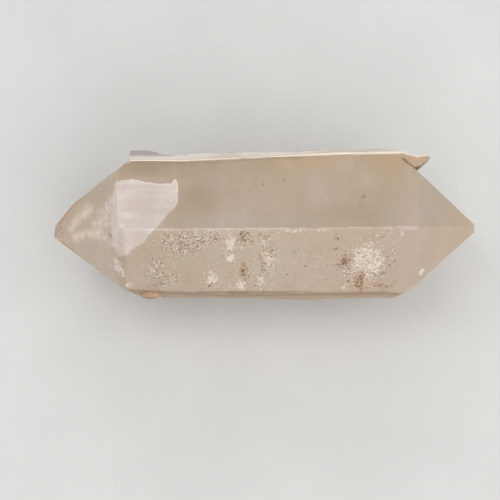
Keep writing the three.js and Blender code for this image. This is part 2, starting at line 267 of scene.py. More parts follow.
# The resting face and the bevel under the front face. The groove runs along the bevel.
RESTING_FACE = -12.75
BEVEL_FRONT = -14.2
BEVEL_UNDERSIDE = (-4.0, -3.2)
BEVEL_RIM_TOP = (-2.1, -1.3)
GROOVE_HEIGHT = 0.2
GROOVE_HALF_WIDTH = (0.05, 0.35)
GROOVE_FRONT = (-14.45, -14.3)
GROOVE_LEFT = (-14.0, -12.0)
GROOVE_FADE = (3.0, 9.0)
GROOVE_FAINTEST = 0.3
GROOVE_RIGHT = (20.0, 24.0)

# How much of the solid's pits and lump is smoothed away, and where on the front face.
PIT_FILL = 0.35
PIT_SHALLOWEST = (0.05, 0.1)
PIT_DEEPEST = (0.6, 0.9)
PIT_LEFT = (-23.8, -23.0)
PIT_RIGHT = (20.2, 20.8)
LUMP_FILL = 0.9
LUMP_LOWEST = (-0.08, -0.03)
LUMP_LEFT = (-25.6, -25.0)
LUMP_RIGHT = (-18.5, -18.0)
FRONT_TOP = (0.15, 0.4)
FRONT_BOTTOM = (14.3, 14.6)

# Relief of the surface: height or depth, size of its features and seed of its noise.
BROAD_WAVES = (0.03, 9.0, 3)
FINE_WAVES = (0.006, 1.6, 5)
LARGE_PITS = (0.12, 1.1, 21)
SMALL_PITS = (0.09, 0.55, 31)
CRUST_RELIEF = (0.05, 0.5, 11)
EDGE_CHIPS = (0.12, 1.1, 41)
CHIP_LEVELS = (0.05, 0.6)
EDGE_WEAR = 0.02
EDGE_WEAR_WIDTH = (0.05, 0.45)
PIT_REACH = 0.5
FLAT_SKIN = 0.02

# Mesh sizes.
REMESH_DEPTH = 8
REMESH_SCALE = 0.85
SHARP_ANGLE = math.radians(24)
EDGE_MIN_LENGTH = 0.8
BOX_INSET = 0.01
MEND_ROUNDS = 4

# Metres below which two corners are one, and below which an edge has no length.
SAME_PLACE = 1e-7
NO_LENGTH = 1e-6

# Where the mesh is made finer: the front face, the ledge with the shard, and the sharp edges.
FRONT_SKIN = 1.0
FRONT_HALF_LENGTH = 25.0
FRONT_HEIGHT = 15.4
LEDGE_UNDERSIDE = 10.5
LEDGE_ZONE_FRONT = [(20.0, 5.9), (27.0, 4.6)]
FINE_EDGE_REACH = 0.13

# Grains on the surface: how many, their smallest and largest size, and how far they spread.
RANDOM_SEED = 7
WHITE_GRAINS = 460
BROWN_GRAINS = 230
MARK_GRAINS = 3
WHITE_GRAIN_SIZE = (0.04, 0.1)
BROWN_GRAIN_SIZE = (0.04, 0.13)
MARK_GRAIN_SIZE = (0.11, 0.22)
GRAIN_SPREAD = 0.6
MARK_SPREAD = 0.11
GRAIN_SUNK = 0.25

# Distances from edges: where a distance stops counting, and what is added at a blunt edge.
FAR_AWAY = 9.0
BLUNT_EDGE_FADE = 0.13
ENDS_START = 25.0

# How far from its outline a stored distance still counts. The lip's counts in lip widths.
RIM_REACH = 2.0
VEIL_REACH = 4.0
LEDGE_REACH = 2.0
LIP_REACH = 4.0

# Large numbers that scatter the bits of the noise.
SCATTER_X = 73856093
SCATTER_Y = 19349663
SCATTER_Z = 83492791
SCATTER_SEED = 2654435761
SCATTER_AGAIN = 1274126177
ALL_BITS = 0xFFFFFFFF


# Number helpers

def hashed(ix, iy, iz, seed):
    """A repeatable number from 0 to 1 for each whole-numbered place."""
    bits = (ix.astype(np.int64) * SCATTER_X) ^ (iy.astype(np.int64) * SCATTER_Y)
    bits ^= (iz.astype(np.int64) * SCATTER_Z) ^ (seed * SCATTER_SEED)
    bits &= ALL_BITS
    bits ^= bits >> 13
    bits = (bits * SCATTER_AGAIN) & ALL_BITS
    bits ^= bits >> 16
    return bits / ALL_BITS


def soft_noise(points, size, seed):
    """Smooth noise from -1 to 1 with features about size millimetres apart."""
    place = points / size
    whole = np.floor(place)
    part = place - whole
    part = part * part * (3 - 2 * part)
    total = np.zeros(len(points))
    for dx in (0, 1):
        for dy in (0, 1):
            for dz in (0, 1):
                weight = np.abs(1 - dx - part[:, 0]) * np.abs(1 - dy - part[:, 1])
                weight *= np.abs(1 - dz - part[:, 2])
                total += weight * hashed(whole[:, 0] + dx, whole[:, 1] + dy, whole[:, 2] + dz, seed)
    return total * 2 - 1


def layered_noise(points, size, seed, layers=3):
    """Soft noise with finer noise added to it, from about -1 to 1."""
    total = np.zeros(len(points))
    strength = 1.0
    for finer in range(layers):
        total += strength * soft_noise(points, size / 2 ** finer, seed + finer)
        strength /= 2
    return total / (2 - 2 * strength)


def round_pits(points, spacing, reach, seed):
    """Bowl-shaped pits: 1 in the middle of a pit and 0 outside it."""
    whole = np.floor(points / spacing)
    deepest = np.zeros(len(points))
    for dx in (-1, 0, 1):
        for dy in (-1, 0, 1):
            for dz in (-1, 0, 1):
                cell = whole + (dx, dy, dz)
                args = (cell[:, 0], cell[:, 1], cell[:, 2])
                middle = np.stack([hashed(*args, seed + k) for k in range(3)], axis=1)
                radius = spacing * reach * (0.35 + 0.65 * hashed(*args, seed + 3))
                away = np.linalg.norm(points / spacing - cell - middle, axis=1) * spacing
                deepest = np.maximum(deepest, 1 - away / radius)
    return np.clip(deepest, 0, 1)


def blobs(along, down, patches):
    """Soft-edged patches on a face, from 0 to 1."""
    total = np.zeros(len(along))
    for middle, drop, length, height, strength in patches:
        away = ((along - middle) / length) ** 2 + ((down - drop) / height) ** 2
        total = np.maximum(total, strength * np.exp(-away))
    return total


def spots(points, patches):
    """Soft-edged round patches around places on the crystal, from 0 to 1."""
    total = np.zeros(len(points))
    for place, size, strength in patches:
        away = np.linalg.norm(points - np.array(place), axis=1) / size
        total = np.maximum(total, strength * np.exp(-away ** 2))
    return total


def straight_distance(u, v, start, end):
    """Distance to a straight piece of a path."""
    (ax, ay), (bx, by) = start, end
    length = (bx - ax) ** 2 + (by - ay) ** 2
    t = np.clip(((u - ax) * (bx - ax) + (v - ay) * (by - ay)) / length, 0, 1)
    return np.hypot(u - ax - t * (bx - ax), v - ay - t * (by - ay))


def stroke_distance(u, v, path):
    """Distance to a path of straight pieces."""
    return np.minimum.reduce([straight_distance(u, v, start, end) for start, end in zip(path, path[1:])])


def inside_distance(u, v, outline):
    """Distance to an outline, positive inside it."""
    closed = outline + outline[:1]
    inside = np.zeros(len(u), bool)
    for (ax, ay), (bx, by) in zip(closed, closed[1:]):
        if ay != by:
            crosses = (ay > v) != (by > v)
            inside ^= crosses & (u < (bx - ax) * (v - ay) / (by - ay) + ax)
    away = stroke_distance(u, v, closed)
    return np.where(inside, away, -away)


def across_at(along, path):
    """The path's place across the crystal at each place along it."""
    return np.interp(along, *zip(*path))


def step(values, low, high):
    """0 below low, 1 above high and smooth between them."""
    t = np.clip((values - low) / (high - low), 0, 1)
    return t * t * (3 - 2 * t)


def fall(values, low, high):
    """1 below low, 0 above high and smooth between them."""
    return step(-values, -high, -low)


# Mesh helpers

def link(name, mesh):
    piece = bpy.data.objects.new(name, mesh)
    bpy.context.scene.collection.objects.link(piece)
    return piece


def read(mesh, kind):
    values = np.zeros(len(mesh.vertices) * 3, np.float32)
    if kind == "co":
        mesh.vertices.foreach_get("co", values)
    else:
        mesh.vertex_normals.foreach_get("vector", values)
    return values.reshape(-1, 3).astype(float)


def write(mesh, places):
    mesh.vertices.foreach_set("co", places.astype(np.float32).ravel())
    mesh.update()


def from_axis(places):
    """Places in metres in the part's frame, as millimetres from the long axis."""
    return places / MM - AXIS_PLACE


def to_frame(points):
    """Millimetres from the long axis, as metres in the part's frame."""
    return (points + AXIS_PLACE) * MM


# The crystal's surface

def fine_mesh(node):
    """The solid's mesh with small even faces that keep its edges sharp."""
    mesh = node.data.copy()
    bm = bmesh.new()
    bm.from_mesh(mesh)
    bmesh.ops.remove_doubles(bm, verts=bm.verts, dist=SAME_PLACE)
    bm.to_mesh(mesh)
    bm.free()
    mesh.materials.clear()
    source = link("coarse_crystal", mesh)
    remesh = source.modifiers.new("fine", "REMESH")
    remesh.mode = "SHARP"
    remesh.octree_depth = REMESH_DEPTH
    remesh.scale = REMESH_SCALE
    remesh.use_remove_disconnected = True
    fine = bpy.data.meshes.new_from_object(source.evaluated_get(bpy.context.evaluated_depsgraph_get()))
    bpy.data.objects.remove(source)
    return fine


def mend(mesh):
    """Closes the few places where the fine mesh touches itself along an edge."""
    bm = bmesh.new()
    bm.from_mesh(mesh)
    for _ in range(MEND_ROUNDS):
        pinched = [e for e in bm.edges if not e.is_manifold]
        if not pinched:
            break
        bmesh.ops.collapse(bm, edges=pinched)
        bmesh.ops.dissolve_degenerate(bm, dist=NO_LENGTH, edges=bm.edges)
    bmesh.ops.recalc_face_normals(bm, faces=bm.faces)
    bm.to_mesh(mesh)
    bm.free()


def refine(mesh, wanted):
    """Halves the faces whose middles are wanted."""
    bm = bmesh.new()
    bm.from_mesh(mesh)
    middles = np.array([face.calc_center_median() for face in bm.faces])
    chosen = set()
    for face, want in zip(bm.faces, wanted(from_axis(middles))):
        if want:
            chosen.update(face.edges)
    bmesh.ops.subdivide_edges(bm, edges=list(chosen), cuts=1, use_grid_fill=True)
    bmesh.ops.triangulate(bm, faces=[f for f in bm.faces if len(f.verts) > 4])
    bm.to_mesh(mesh)
    bm.free()


def sharp_edges(node):
    """The solid's long sharp edges, as pairs of ends in millimetres from the axis."""
    bm = bmesh.new()
    bm.from_mesh(node.data)
    bmesh.ops.remove_doubles(bm, verts=bm.verts, dist=SAME_PLACE)
    ends = []
    for edge in bm.edges:
        long_enough = edge.calc_length() > EDGE_MIN_LENGTH * MM
        if len(edge.link_faces) == 2 and long_enough and edge.calc_face_angle(0) > SHARP_ANGLE:
            ends.append([tuple(vert.co) for vert in edge.verts])
    bm.free()
    return from_axis(np.array(ends))


def is_blunt(start, end):
    """Whether an edge crosses the crystal, is the front ridge of a point or lies under the bevel."""
    along = end - start
    middle = (start + end) / 2
    crossing = abs(along[0]) < 0.3 * np.linalg.norm(along)
    on_ridge = middle @ FRONT_RIDGE > 0.9 * np.linalg.norm(middle[1:])
    return crossing or (abs(middle[0]) > ENDS_START and on_ridge) or middle[1] < BEVEL_FRONT


def edge_distance(points, edges):
    """Distance from each point to the nearest of the edges. Blunt edges count as further away."""
    nearest = np.full(len(points), FAR_AWAY)
    for start, end in edges:
        along = end - start
        t = np.clip((points - start) @ along / np.linalg.norm(along) ** 2, 0, 1)
        away = np.linalg.norm(points - start - t[:, None] * along, axis=1)
        if is_blunt(start, end):
            away = away + BLUNT_EDGE_FADE
        nearest = np.minimum(nearest, away)
    return nearest


def front_place(points):
    """Places on the front face: along the crystal and below the face's upper edge."""
    return points[:, 0], points @ FRONT_DOWN - FRONT_UPPER_EDGE


def front_point(along, down):
    """A place on the front face, from its place along the crystal and below the face's upper edge."""
    return np.array([along, 0, 0]) + (down + FRONT_UPPER_EDGE) * FRONT_DOWN + FRONT_OUT * FACE_FRONT


def near_front(points):
    """Whether each point lies on the pitted front face."""
    near_face = points @ FACE_FRONT > FRONT_OUT - FRONT_SKIN
    along, down = front_place(points)
    return near_face & (np.abs(along) < FRONT_HALF_LENGTH) & (down > 0) & (down < FRONT_HEIGHT)


def near_ledge(points):
    """Whether each point lies on the ledge or on the shard at its end."""
    behind_front = points[:, 1] > across_at(points[:, 0], LEDGE_ZONE_FRONT)
    return (points[:, 2] > LEDGE_UNDERSIDE) & behind_front


def near_seen_edge(points, edges):
    """Whether each point lies close to a sharp edge on the upper half."""
    return (edge_distance(points, edges) < FINE_EDGE_REACH) & (points[:, 2] > 0)


def soften_front(mesh):
    """Makes the solid's pits on the front face shallower, and its lump smoother at the top."""
    points = from_axis(read(mesh, "co"))
    along, down = front_place(points)
    depth = FRONT_OUT - points @ FACE_FRONT
    on_face = step(down, *FRONT_TOP) * fall(down, *FRONT_BOTTOM)
    in_pits = step(depth, *PIT_SHALLOWEST) * fall(depth, *PIT_DEEPEST)
    in_pits *= step(along, *PIT_LEFT) * fall(along, *PIT_RIGHT)
    on_lump = fall(depth, *LUMP_LOWEST) * step(along, *LUMP_LEFT) * fall(along, *LUMP_RIGHT)
    fill = on_face * np.maximum(PIT_FILL * in_pits, LUMP_FILL * on_lump)
    points += FACE_FRONT * (depth * fill)[:, None]
    write(mesh, to_frame(points))


def inside_box(places):
    """Keeps places, in metres, just inside the solid's box."""
    low, high = np.array(cad_box[0]), np.array(cad_box[1])
    inset = np.array([BOX_INSET, BOX_INSET, 0]) * MM
    return np.clip(places, low + inset, high - BOX_INSET * MM)


class Skin:
    """The fine mesh's points before they are weathered, with what is known about each of them."""

    def __init__(self, mesh, edges):
        self.mesh = mesh
        self.points = from_axis(read(mesh, "co"))
        self.normals = read(mesh, "normal")
        self.edge = edge_distance(self.points, edges)
        self.right = self.points @ SEEN_RIGHT
        self.up = self.points @ SEEN_UP
        self.seen_side = step(self.normals[:, 2], *FACING_UP)
        self.along, self.down = front_place(self.points)
        self.on_front = step(self.normals @ FACE_FRONT, *FACING_FRONT)
        self.frost = blobs(self.along, self.down, FROST_PATCHES) * self.on_front
        self.pitted = blobs(self.along, self.down, PITTED_AREAS) * self.on_front

    def store(self, name, values):
        """Keeps a number from 0 to 1 at each point, for the material."""
        attribute = self.mesh.attributes.new(name, "FLOAT", "POINT")
        attribute.data.foreach_set("value", np.clip(values, 0, 1).astype(np.float32))


def waves(points, relief):
    height, size, seed = relief
    return height * layered_noise(points, size, seed)


def pits(points, relief):
    depth, spacing, seed = relief
    return depth * round_pits(points, spacing, PIT_REACH, seed)


def weather(skin):
    """Moves the surface: gentle waves, pits, frosted crusts and worn edges."""
    push = waves(skin.points, BROAD_WAVES) + waves(skin.points, FINE_WAVES)
    open_pits = step(skin.pitted, 0.1, 0.8) * (1 - 0.5 * skin.frost)
    push -= open_pits * (pits(skin.points, LARGE_PITS) + pits(skin.points, SMALL_PITS))
    push += skin.frost * waves(skin.points, CRUST_RELIEF)
    chip_depth, chip_size, chip_seed = EDGE_CHIPS
    chips = step(layered_noise(skin.points, chip_size, chip_seed), *CHIP_LEVELS)
    near_edge = fall(skin.edge, *EDGE_WEAR_WIDTH)
    push -= near_edge * (EDGE_WEAR + chip_depth * chips)
    push[skin.points[:, 2] < RESTING_FACE + FLAT_SKIN] = 0
    write(skin.mesh, inside_box(to_frame(skin.points + skin.normals * push[:, None])))


# Masks for what lies on the surface or shows through it

def paint_front(skin):
    """The front face's pits, frost, rust and pale middle, with the frosted and stained spots off it."""
    skin.store("pitted", skin.pitted)
    skin.store("front", skin.on_front * blobs(skin.along, skin.down, PALE_FRONT))
    skin.store("frost", np.maximum(skin.frost, spots(skin.points, FROST_SPOTS)))
    rust = blobs(skin.along, skin.down, STAIN_PATCHES) * skin.on_front
    skin.store("stain", np.maximum(rust, spots(skin.points, STAIN_SPOTS)))


def paint_clouds(skin):
    """The clouds inside, with a patch of painted light at the right end, and the darker far half of the top
    face.
    """
    on_top = step(skin.normals @ FACE_TOP, *FACING_TOP)
    skin.store("dark", blobs(skin.right, skin.up, DARK_CLOUDS) * on_top)
    skin.store("pale_and_lit_end", blobs(skin.right, skin.up, PALE_CLOUDS_AND_LIT_END) * skin.seen_side)
    skin.store("warm", blobs(skin.right, skin.up, WARM_CLOUDS))
    skin.store("shade", step(skin.points[:, 1], *SHADE_START) * on_top)


def paint_veil(skin):
    """The white fracture as a distance from its outline, where it fades, and the ghost beside it."""
    inside = inside_distance(skin.right, skin.up, VEIL_OUTLINE)
    for reach, size, seed in (VEIL_WAVES, VEIL_RIPPLES):
        inside += reach * soft_noise(skin.points, size, seed)
    skin.store("veil", inside / VEIL_REACH + 0.5)
    left_end = fall(skin.right, *VEIL_LEFT_FADE)
    low_end = fall(skin.up, *VEIL_LOW_FADE)
    skin.store("veil_strength", 1 - VEIL_LEFT_LOSS * left_end - VEIL_LOW_LOSS * low_end)
    lower_left = fall(skin.up, *VEIL_SOFT_LOW) * fall(skin.right, *VEIL_SOFT_LEFT)
    skin.store("veil_soft", np.maximum(left_end, lower_left))
    skin.store("veil_top", step(skin.up, *VEIL_RIM_UP) * step(skin.right, *VEIL_RIM_RIGHT))
    skin.store("ghost", step(inside_distance(skin.right, skin.up, VEIL_GHOST), *GHOST_EDGE))


def paint_left_point(skin):
    """The left point's brown rims, pale faces and cream streaks, which are partly painted glints."""
    near_rim = fall(skin.edge, *TIP_RIM_WIDTH) * fall(skin.right, *TIP_RIM_START)
    off_ridge = step(stroke_distance(skin.right, skin.up, TIP_RIDGE), *TIP_RIDGE_WIDTH)
    skin.store("tip_rim", near_rim * off_ridge * skin.seen_side)
    skin.store("left_point", fall(skin.right, *LEFT_POINT_START) * skin.seen_side)
    streaks = [level * fall(stroke_distance(skin.right, skin.up, path), 0, STREAK_SOFTNESS * width)
               for path, width, level in CREAM_AND_GLINT_STREAKS]
    skin.store("cream_and_glint", np.max(streaks, axis=0) * skin.seen_side)


def paint_ledge(skin):
    """The ledge and the shard as a distance from their outline, the bright lip, which is partly a painted
    highlight, and the grey bump.
    """
    x, y, z = skin.points.T
    front = across_at(x, LEDGE_FRONT)
    ledge = np.minimum.reduce([y - front, z - LEDGE_FLOOR, x - LEDGE_LEFT, LEDGE_RIGHT - x])
    shard = np.minimum.reduce([y - across_at(x, SHARD_RIM), z - LEDGE_FLOOR, x - LEDGE_RIGHT])
    skin.store("ledge", np.maximum(ledge, shard) / LEDGE_REACH + 0.5)
    lip_width = LIP_WIDTH * (1 + step(x, *LIP_WIDENS))
    skin.store("lip", (y - front) / lip_width / LIP_REACH)
    skin.store("grey_ledge", fall(x, *GREY_LEDGE_END) * step(y, *GREY_LEDGE_FRONT))


def paint_shard(skin):
    """The shard's pale rim, which is a painted highlight along its upper edge, its brown side and warm
    body.
    """
    x, y, z = skin.points.T
    on_shard = step(x, *SHARD_LEFT) * step(z, *SHARD_UNDERSIDE) * step(y, *SHARD_FRONT)
    near_rim = fall(skin.edge, *SHARD_RIM_WIDTH) * step(y - across_at(x, SHARD_RIM), *SHARD_RIM_FRONT)
    skin.store("shard_rim_highlight", near_rim * on_shard)
    steep = fall(skin.normals[:, 2], *SHARD_STEEP) * fall(skin.normals[:, 1], *SHARD_FACING_BACK)
    skin.store("shard_side", on_shard * steep * step(x, *SHARD_SIDE_START))
    skin.store("shard_warm", on_shard * step(x, *SHARD_WARM_START))


def paint_bevel(skin):
    """The bevel under the front face with its rim, and the lump at its left end."""
    z = skin.points[:, 2]
    bevel = step(-skin.normals[:, 1], *FACING_FORWARDS) * step(z, *BEVEL_UNDERSIDE)
    skin.store("bevel", bevel)
    skin.store("bevel_rim", bevel * fall(z, *BEVEL_RIM_TOP))
    skin.store("lump", spots(skin.points, [LUMP_SPOT]))


def paint_grooves(skin):
    """The brown groove along the bevel, which fades to the right, and the crevice beside the shard."""
    x, y, z = skin.points.T
    across = fall(np.abs(z - GROOVE_HEIGHT), *GROOVE_HALF_WIDTH) * fall(y, *GROOVE_FRONT)
    fading = GROOVE_FAINTEST + (1 - GROOVE_FAINTEST) * fall(x, *GROOVE_FADE)
    lengthwise = step(x, *GROOVE_LEFT) * fall(x, *GROOVE_RIGHT) * fading
    crevice = step(inside_distance(x, y, CREVICE), *CREVICE_EDGE) * step(z, *CREVICE_UNDERSIDE)
    skin.store("groove", np.maximum(across * lengthwise, crevice))


def paint_rims(skin):
    """The distance from the sharp edges, for the painted highlights along them, and the side that the
    camera sees.
    """
    skin.store("edge_highlight", skin.edge / RIM_REACH)
    skin.store("seen_side", skin.seen_side)


PAINTERS = [paint_front, paint_clouds, paint_veil, paint_left_point, paint_ledge, paint_shard,
            paint_bevel, paint_grooves, paint_rims]


# Materials

class Shader:
    """A material's node tree with short ways to add and join nodes."""

    def __init__(self, name):
        self.material = bpy.data.materials.new(name)
        self.material.use_nodes = True
        self.nodes = self.material.node_tree.nodes
        self.links = self.material.node_tree.links
        self.surface = self.nodes["Principled BSDF"]
        self.colour = None

    def add(self, kind, values=None, **settings):
        node = self.nodes.new(kind)
        for key, value in settings.items():
            setattr(node, key, value)
        for key, value in (values or {}).items():
            self.put(node, key, value)
        return node

    def put(self, node, key, value):
        socket = node.inputs[key]
        if isinstance(value, bpy.types.NodeSocket):
            self.links.new(value, socket)
        else:
            socket.default_value = value

    def mask(self, name):
        return self.add("ShaderNodeAttribute", attribute_name=name).outputs["Fac"]

    def place(self):
        return self.add("ShaderNodeTexCoord").outputs["Object"]

    def shaken(self, place, scale, amount):
        """The place moved about by noise, so that what is drawn there gets uneven edges."""
        noise = self.add("ShaderNodeTexNoise", {"Vector": place, "Scale": scale}).outputs["Color"]
        centred = self.vector("SUBTRACT", noise, (0.5, 0.5, 0.5))
        moved = self.vector("MULTIPLY", centred, (amount, amount, amount))
        return self.vector("ADD", place, moved)

    def noise(self, scale, detail=3.0, roughness=0.55, place=None):
        node = self.add("ShaderNodeTexNoise", {"Vector": place or self.place(), "Scale": scale,
                                               "Detail": detail, "Roughness": roughness})
        return node.outputs["Fac"]

    def vector(self, operation, first, second):
        return self.add("ShaderNodeVectorMath", {0: first, 1: second}, operation=operation).outputs[0]

    def math(self, operation, first, second):
        return self.add("ShaderNodeMath", {0: first, 1: second}, operation=operation).outputs[0]

    def times(self, first, second):
        return self.math("MULTIPLY", first, second)

    def plus(self, first, second):
        return self.math("ADD", first, second)

    def larger(self, first, second):
        return self.math("MAXIMUM", first, second)

    def ramp(self, value, low, high, to_low=0.0, to_high=1.0):
        node = self.add("ShaderNodeMapRange", {"Value": value, "From Min": low, "From Max": high,
                                               "To Min": to_low, "To Max": to_high})
        node.interpolation_type = "SMOOTHSTEP"
        return node.outputs["Result"]

    def blend(self, factor, first, second):
        """A number between two others."""
        node = self.add("ShaderNodeMix", data_type="FLOAT")
        self.put(node, "Factor", factor)
        self.put(node, 2, first)
        self.put(node, 3, second)
        return node.outputs[0]

    def mix(self, factor, first, second):
        """A colour between two others."""
        node = self.add("ShaderNodeMix", data_type="RGBA")
        self.put(node, "Factor", factor)
        self.put(node, 6, first)
        self.put(node, 7, second)
        return node.outputs[2]

    def over(self, mask, strength, paint):
        """Paints over the colour so far where the mask is."""
        self.colour = self.mix(self.times(mask, strength), self.colour, paint)

    def over_masks(self, paints):
        """Paints over the colour so far with several paints, each over the whole of its mask."""
        for mask, strength, paint in paints:
            self.over(self.mask(mask), strength, paint)

    def bump(self, height, strength, distance, normal=None):
        values = {"Height": height, "Strength": strength, "Distance": distance}
        if normal is not None:
            values["Normal"] = normal
        return self.add("ShaderNodeBump", values).outputs["Normal"]

    def set(self, **values):
        for key, value in values.items():
            self.put(self.surface, key.replace("_", " "), value)


def tone(red, green, blue):
    """A colour given as it looks on a screen, from 0 to 255, as the shader's own numbers."""
    return tuple(((c / 255 + 0.055) / 1.055) ** 2.4 for c in (red, green, blue)) + (1.0,)


# Colours, as they look on a screen.
MILKY_WARM = tone(183, 164, 140)
MILKY_LIGHT = tone(199, 182, 164)
MILKY_ROSE = tone(188, 168, 152)
SMOKY = tone(166, 146, 120)
SHADED = tone(172, 152, 126)
CREAM = tone(234, 213, 193)
LILAC = tone(206, 190, 180)
FROST_WHITE = tone(218, 205, 192)
FROST_BASE = tone(199, 185, 173)
VEIL_WHITE = tone(186, 176, 170)
VEIL_BASE = tone(178, 168, 164)
VEIL_PALE = tone(206, 198, 194)
GHOST_WHITE = tone(222, 208, 195)
RIM_WHITE = tone(230, 218, 204)
LEDGE_WHITE = tone(226, 218, 211)
LEDGE_GREY = tone(150, 147, 146)
LEDGE_SHADE = tone(172, 160, 142)
LEDGE_CREAM = tone(250, 234, 212)
WARM = tone(196, 164, 126)
BEVEL_TAN = tone(154, 124, 90)
PIT_BROWN = tone(128, 99, 72)
RUST = tone(160, 124, 80)
RUST_DARK = tone(88, 56, 30)
BEVEL_CREAM = tone(192, 168, 138)
TIP_BROWN = tone(178, 134, 92)
LUMP_BROWN = tone(144, 106, 70)
CREVICE_BROWN = tone(104, 76, 46)
MARK_BROWN = tone(112, 88, 68)
FLOOR_DARK = tone(189, 188, 186)
FLOOR_LIGHT = tone(193, 192, 190)

# How noises are stretched. A small number makes long streaks that way.
STREAK_STRETCH = (0.15, 1.0, 1.0)
BAND_STRETCH = (1.6, 0.7, 0.7)

# Paint for the whole of a mask, in the order in which it goes on: mask, strength and colour.
BODY_PAINTS = [
    # The pale paint includes painted light at the right end.
    ("dark", 0.9, SMOKY), ("pale_and_lit_end", 0.5, VEIL_WHITE), ("warm", 0.55, WARM), ("front", 0.5, MILKY_LIGHT),
    ("bevel", 0.9, BEVEL_TAN), ("bevel_rim", 0.6, BEVEL_CREAM), ("lump", 0.85, LUMP_BROWN),
    ("left_point", 0.5, MILKY_LIGHT), ("tip_rim", 0.8, TIP_BROWN),
]
# The shard's rim paint is a painted highlight along its upper edge.
SHARD_PAINTS = [
    ("shard_warm", 0.5, WARM), ("shard_side", 0.8, CREVICE_BROWN), ("shard_rim_highlight", 0.8, LEDGE_CREAM),
]

# The noise level above which specks show where they are fewest.
SPARSE_LEVEL = 0.66

# How light bends and how far it spreads inside, the distance in metres.
QUARTZ_IOR = 1.544
LIGHT_SPREAD = 0.0012


def scattered(shader, noise, amount, dense_level):
    """Crisp specks where the noise is above a level, which falls to the dense one with the amount."""
    level = shader.ramp(amount, 0.0, 1.0, SPARSE_LEVEL, dense_level)
    crisp = shader.ramp(shader.math("SUBTRACT", noise, level), 0.0, 0.02)
    return shader.times(crisp, shader.ramp(amount, 0.03, 0.15))


def quartz_noises(shader):
    """The noises that the quartz's layers share."""
    place = shader.place()
    banded = shader.vector("MULTIPLY", place, BAND_STRETCH)
    stretched = shader.vector("MULTIPLY", place, STREAK_STRETCH)
    uneven = shader.shaken(place, 2200.0, 0.0006)
    return SimpleNamespace(
        cloud=shader.noise(70.0, 3.0, 0.5, place),
        wisps=shader.noise(220.0, 4.0, 0.6, place),
        banding=shader.noise(160.0, 4.0, 0.6, banded),
        streaks=shader.noise(700.0, 4.0, 0.6, stretched),
        ragged=shader.noise(900.0, 3.0, 0.6, place),
        patchy=shader.noise(1300.0, 4.0, 0.7, place),
        salt=shader.noise(3000.0, 3.0, 0.6, uneven),
        pepper=shader.noise(2500.0, 3.0, 0.6, uneven),
        speckle=shader.noise(2600.0, 3.0, 0.7, place),
        ripple=shader.noise(300.0, 2.0, 0.5, place),
    )


def body_layers(shader, noise):
    """The cloudy body, its bevel and lump, and the left point."""
    shader.colour = shader.mix(shader.ramp(noise.cloud, 0.35, 0.65), MILKY_WARM, MILKY_ROSE)
    shader.over(shader.mask("shade"), 0.4, SHADED)
    shader.over(shader.ramp(noise.banding, 0.5, 0.75), 0.4, MILKY_LIGHT)
    shader.over(shader.ramp(noise.banding, 0.5, 0.25), 0.4, SMOKY)
    shader.over_masks(BODY_PAINTS)
    mottled = shader.times(shader.mask("left_point"), shader.ramp(noise.ragged, 0.45, 0.62))
    shader.over(mottled, 0.3, LILAC)
    # Cream streaks, partly painted glints on the point's small facet and ridge.
    streaky = shader.times(shader.mask("cream_and_glint"), shader.ramp(noise.ragged, 0.3, 0.55, 0.4, 1.0))
    shader.over(streaky, 1.0, CREAM)


def veil_layers(shader, noise):
    """The white fracture and the ghost beside it. Gives where the fracture is."""
    reach = shader.plus(shader.mask("veil"), shader.times(noise.ragged, 0.12))
    crisp = shader.ramp(reach, 0.545, 0.59)
    soft = shader.ramp(reach, 0.5, 0.82)
    veil = shader.times(shader.blend(shader.mask("veil_soft"), crisp, soft), shader.mask("seen_side"))

    broken = shader.times(shader.ramp(noise.wisps, 0.38, 0.58, 0.4, 1.0),
                          shader.ramp(noise.ragged, 0.38, 0.58, 0.45, 1.0))
    shader.over(shader.times(shader.mask("ghost"), broken), 0.95, GHOST_WHITE)

    full = shader.times(veil, shader.mask("veil_strength"))
    streaked = shader.times(shader.ramp(noise.streaks, 0.35, 0.65, 0.3, 1.0),
                            shader.ramp(noise.wisps, 0.35, 0.6, 0.25, 1.0))
    grainy = shader.times(streaked, shader.ramp(noise.patchy, 0.35, 0.6, 0.7, 1.0))
    shader.over(full, 0.7, VEIL_BASE)
    shader.over(shader.times(full, grainy), 0.7, VEIL_PALE)

    top_edge = shader.times(shader.ramp(reach, 0.65, 0.58), shader.mask("veil_top"))
    shader.over(shader.times(veil, top_edge), 0.45, RIM_WHITE)
    return veil


def ledge_layers(shader, noise):
    """The pale ledge, partly a painted glint of the back lamp, with its grey bump, the shade above its lip,
    the bright lip, partly a painted highlight, and the shard.
    """
    ledge = shader.ramp(shader.mask("ledge"), 0.48, 0.52)
    widths = shader.mask("lip")
    lip = shader.ramp(widths, 0.28, 0.22)
    above_lip = shader.times(shader.ramp(widths, 0.22, 0.30), shader.ramp(widths, 0.5, 0.38))
    # The ledge's own pale, streaky white, with a painted glint of the back lamp in it.
    pale_and_glint = shader.times(ledge, shader.ramp(noise.streaks, 0.3, 0.6, 0.45, 1.0))
    shader.over(pale_and_glint, 0.85, LEDGE_WHITE)
    shader.over(shader.times(ledge, shader.mask("grey_ledge")), 0.8, LEDGE_GREY)
    shader.over(shader.times(ledge, above_lip), 0.35, LEDGE_SHADE)
    # The bright lip: partly a painted highlight along the ledge's front edge.
    shader.over(shader.times(pale_and_glint, lip), 0.95, LEDGE_CREAM)
    shader.over_masks(SHARD_PAINTS)


def edge_highlight_layer(shader, noise):
    """Painted highlights along the worn sharp edges: pale and broken lines, faint off the seen side."""
    broken = shader.times(shader.ramp(noise.wisps, 0.4, 0.6, 0.2, 1.0),
                          shader.ramp(shader.mask("seen_side"), 0.0, 1.0, 0.3, 1.0))
    edge_highlight = shader.times(shader.ramp(shader.mask("edge_highlight"), 0.085, 0.03), broken)
    shader.over(edge_highlight, 0.5, RIM_WHITE)


